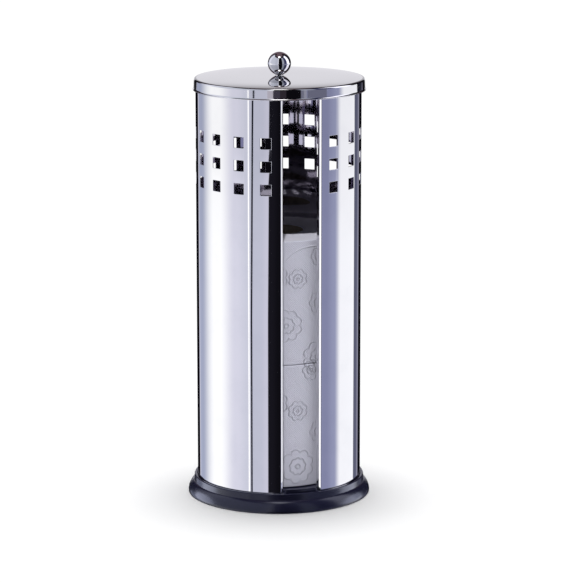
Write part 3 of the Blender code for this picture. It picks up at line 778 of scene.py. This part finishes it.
def base_profile():
    """The base, cut through its middle: floor, spigot, groove, collar, flange, heel and underside."""
    flange = []
    for i in range(FLANGE_RINGS + 1):
        a = math.pi / 2 * i / FLANGE_RINGS
        out = abs(math.sin(a)) ** FLANGE_POWER
        rise = abs(math.cos(a)) ** FLANGE_POWER
        flange.append((COLLAR_RADIUS + COLLAR_DRAFT + (FLANGE_REACH - COLLAR_DRAFT) * out,
                       FLANGE_WIDEST_HEIGHT + (FLANGE_HEIGHT - FLANGE_WIDEST_HEIGHT) * rise))
    heel = []
    for i in range(1, HEEL_RINGS + 1):
        a = math.pi / 2 * i / HEEL_RINGS
        heel.append((HEEL_RADIUS + HEEL_INSET * math.cos(a),
                     BASE_LIFT + (FLANGE_WIDEST_HEIGHT - BASE_LIFT) * (1 - math.sin(a))))
    spigot_round = SPIGOT_TOP - SPIGOT_ROUND
    rim_inner = SPIGOT_BORE + INNER_RIM_WALL
    profile = [(0.0, FLOOR_HEIGHT), (SPIGOT_BORE - SPIGOT_ROUND, FLOOR_HEIGHT)]
    profile += [(SPIGOT_BORE, FLOOR_HEIGHT + SPIGOT_ROUND / 4)]
    profile += arc((SPIGOT_BORE + SPIGOT_ROUND, spigot_round), SPIGOT_ROUND, 180, 90)
    profile += arc((GROOVE_INNER - SPIGOT_ROUND, spigot_round), SPIGOT_ROUND, 90, 0)
    profile += [(GROOVE_INNER, GROOVE_FLOOR), (GROOVE_OUTER, GROOVE_FLOOR)]
    profile += [(GROOVE_OUTER, COLLAR_HEIGHT - TOUCH), (GROOVE_OUTER + TOUCH, COLLAR_HEIGHT)]
    profile += arc((COLLAR_RADIUS - COLLAR_ROUND, COLLAR_HEIGHT - COLLAR_ROUND), COLLAR_ROUND, 90, 0,
                   COLLAR_ARC_STEPS)
    profile += flange + heel
    profile += [(HEEL_RADIUS - FLANGE_WALL / 2, BASE_LIFT), (COLLAR_RADIUS, LEDGE_HEIGHT),
                (rim_inner, LEDGE_HEIGHT), (rim_inner, INNER_RIM_LIFT), (SPIGOT_BORE, INNER_RIM_LIFT),
                (SPIGOT_BORE, FLOOR_UNDERSIDE), (0.0, FLOOR_UNDERSIDE)]
    return profile


def fold_notch(side):
    """The room that the spigot leaves for a folded edge."""
    fold = [ring_place(TUBE_RADIUS, side * SLOT_ANGLE).to_2d()] + fold_outline(side)
    angle = side * sum(min(angle_of(p), 2 * math.pi - angle_of(p)) for p in fold) / len(fold)
    seen = [turn_to(angle).transposed() @ p.to_3d() for p in fold]
    margin = SHEET + NOTCH_MARGIN
    inner, outer = min(p.x for p in seen) - margin, TUBE_RADIUS
    near, far = min(p.y for p in seen) - margin, max(p.y for p in seen) + margin
    low, high = COLLAR_HEIGHT - TOUCH, SPIGOT_TOP + OVERRUN
    return block((outer - inner, far - near, high - low),
                 ((outer + inner) / 2, (far + near) / 2, (high + low) / 2), angle)


def tab_fixing(angle):
    """The boss for a tab's screw, the boss's bore, and the window that the tab comes through."""
    tab_top = tube_low[2] + SHEET
    boss_foot = tab_top + TOUCH
    place = ring_place(TUBE_RADIUS - TAB_HOLE_INSET, angle)
    boss = bar(BOSS_RADIUS, boss_foot, FLOOR_UNDERSIDE + FLOOR_WALL / 2, place)
    bore = bar(BOSS_BORE_RADIUS, boss_foot - OVERRUN, boss_foot + BOSS_BORE_DEPTH, place)
    inner, outer = SPIGOT_BORE - OVERRUN, GROOVE_OUTER + TOUCH
    low, high = LEDGE_HEIGHT - TAB_ROOM, tab_top + TAB_ROOM
    window = block((outer - inner, TAB_WIDTH + 2 * TAB_ROOM, high - low),
                   ((outer + inner) / 2, 0, (high + low) / 2), angle)
    return [(boss, "UNION"), (bore, "DIFFERENCE"), (window, "DIFFERENCE")]


def make_base(plastic):
    """The base moulding, with room for the folds, and bosses and windows for the tabs."""
    cuts = [(fold_notch(side), "DIFFERENCE") for side in (-1, 1)]
    for angle in tab_angles():
        cuts += tab_fixing(angle)
    bm = carved(turned(base_profile()), cuts)
    return show("base_shell", bm, "holder", plastic, ["base_moulding"])


def thread(radius, root, foot, top, pitch):
    """One ridge that winds up the shank."""
    bm = bmesh.new()
    turns = math.floor((top - foot) / pitch - 1)
    corners = [(root, 0, foot), (radius, 0, foot + pitch / 2), (root, 0, foot + pitch)]
    verts = [bm.verts.new(corner) for corner in corners]
    edges = [bm.edges.new((verts[i - 1], verts[i])) for i in range(3)]
    bmesh.ops.spin(bm, geom=verts + edges, cent=(0, 0, 0), axis=(0, 0, 1), dvec=(0, 0, pitch / THREAD_STEPS),
                   angle=2 * math.pi * turns, steps=THREAD_STEPS * turns)
    bmesh.ops.holes_fill(bm, edges=bm.edges, sides=3)
    bmesh.ops.recalc_face_normals(bm, faces=bm.faces)
    return bm


def make_screw(node, body, steel, radius, tip, head_height, drive_radius, drive_depth, pitch):
    """A pan-head screw standing on its head, with a hexagonal drive and a wound thread."""
    low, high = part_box(node)
    place = middle_of(node)
    head = radius_of(node)
    seat = low[2] + head_height
    root = radius * THREAD_ROOT_SHARE
    profile = [(0.0, high[2]), (root - tip / 3, high[2]), (root, high[2] - tip), (root, seat + pitch / 2),
               (radius, seat), (head, seat)]
    profile += arc((head - head_height / 2, seat - head_height / 2), head_height / 2, 0, -90, FINE_ARC_STEPS)
    profile += [(0.0, low[2])]
    drive = bar(drive_radius, low[2] - OVERRUN, low[2] + drive_depth, (0, 0), DRIVE_SIDES)
    bm = carved(turned(profile, steps=SMALL_STEPS), [(drive, "DIFFERENCE")])
    ridge = bpy.data.meshes.new("ridge")
    wound = thread(radius, root - TOUCH / 3, seat + pitch / 3, high[2] - tip, pitch)
    wound.to_mesh(ridge)
    wound.free()
    bm.from_mesh(ridge)
    bpy.data.meshes.remove(ridge)
    bmesh.ops.translate(bm, vec=(place[0], place[1], 0), verts=bm.verts)
    return show(f"{node}_threaded", bm, body, steel, [node])


def make_washer(steel):
    low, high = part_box("knob_washer")
    radius = radius_of("knob_washer")
    edge = WASHER_EDGE
    profile = [(LID_HOLE_RADIUS + edge, high[2]), (radius - edge, high[2]), (radius, high[2] - edge),
               (radius, low[2] + edge), (radius - edge, low[2]), (LID_HOLE_RADIUS + edge, low[2]),
               (LID_HOLE_RADIUS, low[2] + edge), (LID_HOLE_RADIUS, high[2] - edge)]
    bm = turned(profile, middle_of("knob_washer"), MIDDLE_STEPS, closed=True)
    return show("washer_punched", bm, "lid", steel, ["knob_washer"])


def make_ring(rubber):
    """The rubber ring that the holder stands on, with grooves round its foot for grip."""
    low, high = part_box("non_slip_ring")
    outer = radius_of("non_slip_ring")
    inner = outer - RING_WIDTH
    foot = low[2]
    profile = [(inner, high[2]), (outer, high[2])]
    profile += arc((outer - RING_ROUND, foot + RING_ROUND), RING_ROUND, 0, -90)
    half_width, depth = RING_GROOVE
    for i in range(RING_GROOVES):
        middle = outer - RING_WIDTH * (i + 1) / (RING_GROOVES + 1)
        profile += [(middle + half_width, foot), (middle + half_width / 2, foot + depth),
                    (middle - half_width / 2, foot + depth), (middle - half_width, foot)]
    profile += arc((inner + RING_ROUND, foot + RING_ROUND), RING_ROUND, -90, -180)
    bm = turned(profile, closed=True)
    return show("ring_grooved", bm, "holder", rubber, ["non_slip_ring"])


def unroll(bm, radius):
    """UV of a roll that stands on the Z axis: round the roll and up, or outwards on its ends."""
    unrolled = bm.loops.layers.uv.new("unrolled")
    for face in bm.faces:
        middle = angle_of(face.calc_center_median())
        is_end = abs(face.normal.z) > ROLL_END_NORMAL
        for loop in face.loops:
            spot = loop.vert.co
            turn = angle_of(spot)
            turn += round((middle - turn) / (2 * math.pi)) * 2 * math.pi
            up = ROLL_END_UP + spot.xy.length if is_end else spot.z
            loop[unrolled].uv = (turn * radius, up)


def make_paper(roll, paper):
    """The wound paper of a roll, whose body has the roll's name."""
    node = f"{roll}_paper"
    low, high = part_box(node)
    centre = middle_of(node)
    radius = radius_of(node)
    bore = radius_of(f"{roll}_core") + TOUCH
    top, foot = high[2], low[2]
    end_width = radius - ROLL_ROUND - bore - ROLL_CORE_ROUND
    rings = [bore + ROLL_CORE_ROUND + end_width * i / ROLL_END_RINGS for i in range(1, ROLL_END_RINGS)]
    side_height = top - foot - 2 * ROLL_ROUND
    rise = [foot + ROLL_ROUND + side_height * i / ROLL_SIDE_RINGS for i in range(1, ROLL_SIDE_RINGS)]
    profile = arc((bore + ROLL_CORE_ROUND, top - ROLL_CORE_ROUND), ROLL_CORE_ROUND, 180, 90, SMALL_ARC_STEPS)
    profile += [(r, top) for r in rings]
    profile += arc((radius - ROLL_ROUND, top - ROLL_ROUND), ROLL_ROUND, 90, 0)
    profile += [(radius, z) for z in reversed(rise)]
    profile += arc((radius - ROLL_ROUND, foot + ROLL_ROUND), ROLL_ROUND, 0, -90)
    profile += [(r, foot) for r in reversed(rings)]
    profile += arc((bore + ROLL_CORE_ROUND, foot + ROLL_CORE_ROUND), ROLL_CORE_ROUND, -90, -180,
                   SMALL_ARC_STEPS)
    bm = turned(profile, steps=ROLL_STEPS, closed=True)
    unroll(bm, radius)
    bmesh.ops.translate(bm, vec=(centre[0], centre[1], 0), verts=bm.verts)
    return show(f"{roll}_tissue", bm, roll, paper, [node])


def make_core(roll, board):
    """The cardboard tube of a roll."""
    node = f"{roll}_core"
    low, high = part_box(node)
    radius = radius_of(node)
    inner = radius - CORE_WALL
    edge = CORE_WALL / 4
    profile = [(inner, high[2] - edge), (inner + edge, high[2]), (radius - edge, high[2]),
               (radius, high[2] - edge), (radius, low[2] + edge),
               (radius - edge, low[2]), (inner + edge, low[2]), (inner, low[2] + edge)]
    bm = turned(profile, middle_of(f"{roll}_paper"), CORE_STEPS, closed=True)
    return show(f"{roll}_tube", bm, roll, board, [node])


# Studio: what the steel sees, in degrees from the direction of the camera, positive to the right.
# Each panel starts at its angle and reaches to the next. Then come its colour as the steel shows it,
# its brightness and how softly it starts. Heights are the upward part of a ray of length 1.
LEVEL_PANELS = (
    (-150.2, (196, 196, 211), 1.0, 1.6),
    (-146.5, (158, 164, 187), 1.0, 2.0),
    (-119.0, (253, 254, 255), 1.02, 34.0),
    (-77.0, (214, 214, 228), 1.0, 28.0),
    (-52.0, (202, 204, 218), 1.0, 20.0),
    (-43.2, (254, 254, 255), 1.1, 0.6),
    (-41.2, (188, 190, 205), 1.0, 0.6),
    (-39.6, (20, 22, 34), 1.0, 0.6),
    (-37.2, (190, 192, 208), 1.0, 0.6),
    (-21.0, (198, 198, 214), 1.0, 8.0),
    (-15.0, (22, 21, 28), 1.0, 1.2),
    (-4.0, (13, 12, 17), 1.0, 12.0),
    (33.0, (225, 228, 240), 1.0, 1.5),
    (35.5, (130, 133, 164), 1.0, 2.0),
    (77.0, (146, 150, 179), 1.0, 16.0),
    (91.0, (244, 245, 249), 1.0, 13.0),
    (131.0, (88, 90, 110), 1.0, 2.5),
    (144.0, (134, 133, 151), 1.0, 6.0),
    (150.0, (8, 7, 12), 1.0, 1.5),
)
HIGH_PANELS = (
    (-132.0, (185, 186, 200), 1.0, 14.0),
    (-119.0, (222, 224, 236), 1.0, 12.0),
    (-100.0, (188, 192, 204), 1.0, 30.0),
    (-40.0, (172, 176, 190), 1.0, 50.0),
    (-15.0, (225, 226, 234), 1.0, 8.0),
    (-8.0, (9, 8, 14), 1.0, 2.0),
    (29.0, (150, 155, 168), 1.0, 3.0),
    (49.0, (56, 58, 88), 1.0, 8.0),
    (80.0, (238, 238, 250), 1.4, 10.0),
    (112.0, (12, 11, 18), 1.0, 8.0),
)
STUDIO_BACK = (8, 7, 12)
HIGH_PANELS_START = (-0.07, -0.02)
LEAN_SIDES = (-40.0, 0.0)               # the level panels between these lean
LEAN = 32.0                             # degrees per unit of height
LEAN_START = -0.216
LEAN_SPAN = 0.12                        # of height
SKIRT_PATCHES = (
    # start, end, shade
    (-180.0, -146.0, (8, 7, 14)),
    (-16.0, -8.2, (180, 176, 187)),
    (-8.2, 1.0, (62, 58, 70)),
    (1.0, 9.0, (46, 41, 48)),
    (28.6, 33.0, (112, 113, 130)),
    (33.0, 36.5, (142, 143, 158)),
    (37.5, 66.0, (104, 105, 124)),
    (128.0, 180.0, (12, 11, 20)),
)
SKIRT_PATCH_START = (-0.128, -0.116)
SKIRT_PATCH_SOFTNESS = 0.5
TOP_DIMMING = (-0.20, -0.15, 0.09)      # start, end, share
BACKDROP = (197, 196, 201)
BACKDROP_START = (-0.14, -0.10)
BACKDROP_FADE = (0.20, 0.46)
BACKDROP_SIDES = (160.0, 166.0)
CEILING = (96, 80, 87)
CEILING_START = (0.91, 0.93)
CEILING_BACK_SIDES = (140.0, 156.0)     # it reaches down to the backdrop here
CEILING_RIM = (10, 9, 14)
CEILING_RIM_START = (0.82, 0.85)
LAMP_ELEVATION = math.radians(70)
LAMP_HALF_WIDTH = math.radians(7.5)
LAMP_EDGE_SHARES = (1.2, 0.8)           # of its half width, where it is dark and where it is full
LAMP_GLOW_WIDTH = math.radians(14)
LAMP_POWER = 4.5
LAMP_GLOW = 0.8
STEEL = 0.66                            # how much light polished steel gives back
SKY = (0.120, 0.120, 0.122, 1.0)
WHITE = (1.0, 1.0, 1.0, 1.0)
BLACK = (0.0, 0.0, 0.0, 1.0)

# Lamps: tilts are from straight above towards the camera, turns are round to the right
KEY_STRENGTH = 3.45
KEY_WIDTH = math.radians(2)
KEY_TILT = math.radians(22)
KEY_TURN = math.radians(-3)
OVERHEAD_STRENGTH = 3.06
OVERHEAD_WIDTH = math.radians(26)
OVERHEAD_TILT = math.radians(-4)
EDGE_LAMPS = (
    # strength, turn
    (1.0, math.radians(-110)),
    (0.8, math.radians(108)),
)
EDGE_LAMP_TILT = math.radians(90)
EDGE_LAMP_WIDTH = math.radians(40)
EDGE_LAMP_COLOUR = (0.78, 0.82, 1.0)
FLOOR_HALF_SIZE = 15.0


def seen_in_steel(shade, power=1.0):
    """The colour of a panel that polished steel shows in this shade."""
    return tuple(channel * power / STEEL for channel in colour(*shade)[:3]) + (1.0,)


def panels_seen(nodes, table, azimuth, leaning):
    """The panels of a table, side by side all the way round."""
    panels = seen_in_steel(STUDIO_BACK)
    for start, shade, power, softness in table:
        angle = leaning if LEAN_SIDES[0] < start < LEAN_SIDES[1] else azimuth
        share = angle.between(start - softness / 2, start + softness / 2)
        panels = nodes.blend(share, panels, seen_in_steel(shade, power))
    return panels


def studio():
    """The world: white to the camera, panels and a lamp to the gloss, an even light to the rest."""
    world = bpy.data.worlds.new("studio")
    bpy.context.scene.world = world
    world.use_nodes = True
    world.cycles.sampling_method = "NONE"
    nodes = Nodes(world.node_tree)
    ray = nodes.add("ShaderNodeTexCoord", output="Generated")
    turned_ray = nodes.add("ShaderNodeMapping", inputs={"Vector": ray, "Rotation": (0, 0, -CAMERA_AZIMUTH)})
    x, y, z = nodes.split(turned_ray)
    azimuth = x.math("ARCTAN2", y * -1.0) * (180 / math.pi)
    leaning = azimuth - (z - LEAN_START).larger(0.0).smaller(LEAN_SPAN) * LEAN
    level = panels_seen(nodes, LEVEL_PANELS, azimuth, leaning)
    soft = SKIRT_PATCH_SOFTNESS
    for start, end, shade in SKIRT_PATCHES:
        across = azimuth.between(start - soft, start + soft) * (1 - azimuth.between(end - soft, end + soft))
        level = nodes.blend(across * z.between(*SKIRT_PATCH_START), level, seen_in_steel(shade))
    dim_start, dim_end, dim_share = TOP_DIMMING
    level = nodes.blend(z.between(dim_start, dim_end) * dim_share, level, BLACK)
    high = panels_seen(nodes, HIGH_PANELS, azimuth, azimuth)
    panels = nodes.blend(z.between(*HIGH_PANELS_START), level, high)
    panels = nodes.blend(z.between(*CEILING_RIM_START), panels, seen_in_steel(CEILING_RIM))
    panels = nodes.blend(z.between(*CEILING_START), panels, seen_in_steel(CEILING))
    above_back = azimuth.size().between(*CEILING_BACK_SIDES) * z.between(*BACKDROP_FADE)
    panels = nodes.blend(above_back, panels, seen_in_steel(CEILING))
    behind = azimuth.size().between(*BACKDROP_SIDES) * z.between(*BACKDROP_START) * (
        1 - z.between(*BACKDROP_FADE))
    panels = nodes.blend(behind, panels, seen_in_steel(BACKDROP))
    aim = Vector((0, -math.cos(LAMP_ELEVATION), math.sin(LAMP_ELEVATION)))
    towards = nodes.add("ShaderNodeVectorMath", {"operation": "DOT_PRODUCT"}, {0: turned_ray, 1: aim},
                        output="Value")
    glow = towards.between(math.cos(LAMP_GLOW_WIDTH), math.cos(LAMP_HALF_WIDTH))
    panels = nodes.blend(glow, panels, (LAMP_GLOW, LAMP_GLOW, LAMP_GLOW, 1.0))
    lit = towards.between(*[math.cos(LAMP_HALF_WIDTH * share) for share in LAMP_EDGE_SHARES])
    panels = nodes.blend(lit, panels, (LAMP_POWER, LAMP_POWER, LAMP_POWER, 1.0))
    seen = nodes.add("ShaderNodeLightPath", output="Is Camera Ray")
    glossy = nodes.add("ShaderNodeLightPath", output="Is Glossy Ray")
    light = nodes.blend(glossy, SKY, panels)
    light = nodes.blend(seen, light, WHITE)
    background = nodes.add("ShaderNodeBackground", inputs={"Color": light})
    nodes.add("ShaderNodeOutputWorld", inputs={"Surface": background})


def lamp(name, strength, width, tilt, turn, in_gloss):
    """A far lamp. in_gloss says whether gloss shows it."""
    data = bpy.data.lights.new(name, "SUN")
    data.energy = strength
    data.angle = width
    obj = bpy.data.objects.new(name, data)
    obj.rotation_euler = (tilt, 0, CAMERA_AZIMUTH + turn)
    obj.visible_glossy = in_gloss
    bpy.context.scene.collection.objects.link(obj)
    return obj


def light_base_edges(base):
    """Two level lamps from the sides and a little behind, which light the base alone."""
    base_alone = bpy.data.collections.new("base_alone")
    base_alone.objects.link(base)
    for strength, turn in EDGE_LAMPS:
        edge_lamp = lamp("edge_lamp", strength, EDGE_LAMP_WIDTH, EDGE_LAMP_TILT, turn, in_gloss=True)
        edge_lamp.data.color = EDGE_LAMP_COLOUR
        edge_lamp.light_linking.receiver_collection = base_alone
        edge_lamp.light_linking.blocker_collection = base_alone


def pale_floor(nodes):
    mottling = nodes.noise(nodes.place(), scale=3.0)
    tint = nodes.blend(mottling, (0.935, 0.935, 0.935, 1.0), (0.955, 0.955, 0.955, 1.0))
    return {"Base Color": tint, "Roughness": 0.9, "Specular IOR Level": 0.0}


def floor(key):
    """A pale table top. The overhead lamp and the sky light it, and the key lamp doesn't."""
    bm = bmesh.new()
    bmesh.ops.create_grid(bm, x_segments=1, y_segments=1, size=FLOOR_HALF_SIZE)
    mesh = bpy.data.meshes.new("floor")
    bm.to_mesh(mesh)
    bm.free()
    mesh.materials.append(finish_of("pale_floor", pale_floor))
    plane = bpy.data.objects.new("floor", mesh)
    plane.visible_glossy = False
    bpy.context.scene.collection.objects.link(plane)
    unlit = bpy.data.collections.new("not_lit_by_the_key_lamp")
    unlit.objects.link(plane)
    unlit.collection_objects[0].light_linking.link_state = "EXCLUDE"
    key.light_linking.receiver_collection = unlit


def camera():
    data = bpy.data.cameras.new("camera")
    data.sensor_width = SENSOR_WIDTH
    data.lens = FOCAL_PIXELS * SENSOR_WIDTH / IMAGE_SIDE
    data.clip_end = CAMERA_REACH
    obj = bpy.data.objects.new("camera", data)
    obj.location = (CAMERA_DISTANCE * math.sin(CAMERA_AZIMUTH), -CAMERA_DISTANCE * math.cos(CAMERA_AZIMUTH),
                    CAMERA_HEIGHT)
    obj.rotation_euler = (math.pi / 2 - CAMERA_PITCH, 0, CAMERA_AZIMUTH - CAMERA_YAW)
    bpy.context.scene.collection.objects.link(obj)
    bpy.context.scene.camera = obj


def render_settings():
    """Colours as they are, and enough mirror bounces for the tube's inside, which also lights the rolls."""
    scene = bpy.context.scene
    scene.view_settings.view_transform = "Standard"
    scene.cycles.glossy_bounces = 12
    scene.cycles.max_bounces = 14
    scene.cycles.caustics_reflective = True


camera()
studio()
render_settings()
lamp("overhead_lamp", OVERHEAD_STRENGTH, OVERHEAD_WIDTH, OVERHEAD_TILT, 0, in_gloss=False)
key = lamp("key_lamp", KEY_STRENGTH, KEY_WIDTH, KEY_TILT, KEY_TURN, in_gloss=False)
floor(key)

steel = finish_of("mirror_steel", mirror_steel)
make_tube(steel)
make_lid(finish_of("lid_steel", lid_steel))
make_knob(steel)
light_base_edges(make_base(finish_of("satin_black_plastic", black_plastic)))
make_ring(finish_of("black_rubber", black_rubber))
zinc = finish_of("zinc_plated_steel", zinc_steel)
for index in range(TAB_COUNT):
    make_screw(f"tab_screw_{index + 1}", "holder", zinc, **TAB_SCREW)
make_screw("knob_screw", "lid", zinc, **KNOB_SCREW)
make_washer(zinc)
paper = finish_of("embossed_tissue", tissue_paper)
board = finish_of("wound_cardboard", cardboard)
for roll in ("lower_roll", "upper_roll"):
    make_paper(roll, paper)
    make_core(roll, board)
